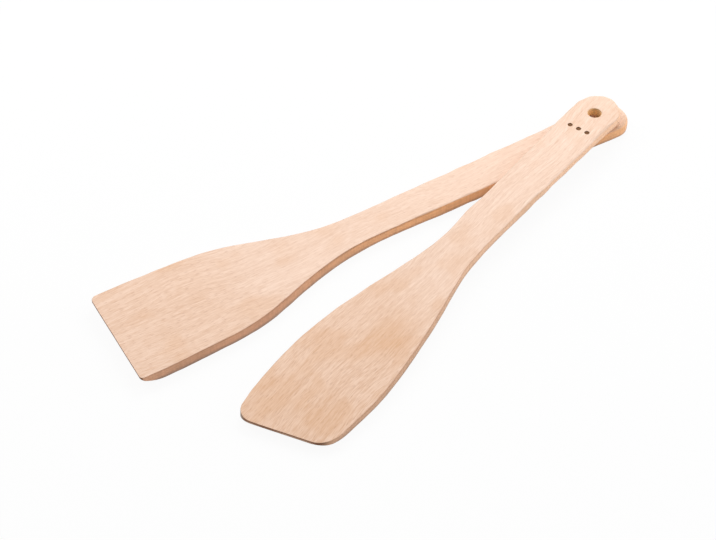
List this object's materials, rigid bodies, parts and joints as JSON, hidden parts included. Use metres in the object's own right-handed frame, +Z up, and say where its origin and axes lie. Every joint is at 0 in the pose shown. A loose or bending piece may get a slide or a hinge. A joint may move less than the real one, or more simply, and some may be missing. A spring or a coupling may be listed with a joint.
{
  "type": "pair of wooden turners",
  "caption": "Flat beech kitchen turners lying fanned out: one with a square blade, and on its handle one with a slanted paddle blade. Each has a bevelled tip and a hanging hole.",
  "frame": {"origin": "where the axis of the lower turner's hanging hole meets the table", "axes": "+X along the lower turner from its blade to its round end, +Z up, -Y towards the side on which the upper turner's blade lies"},
  "size_m": [0.329, 0.1437, 0.0145],
  "materials": {
    "beech": "sanded bare"
  },
  "bodies": {
    "lower": {"lower_turner": "beech"},
    "upper": {"upper_turner": "beech"}
  },
  "joints": [
    {"name": "upper_lift", "type": "slide", "parent": "lower", "child": "upper", "axis": [0, 0, 1], "range_m": [0, 0.06]}
  ]
}
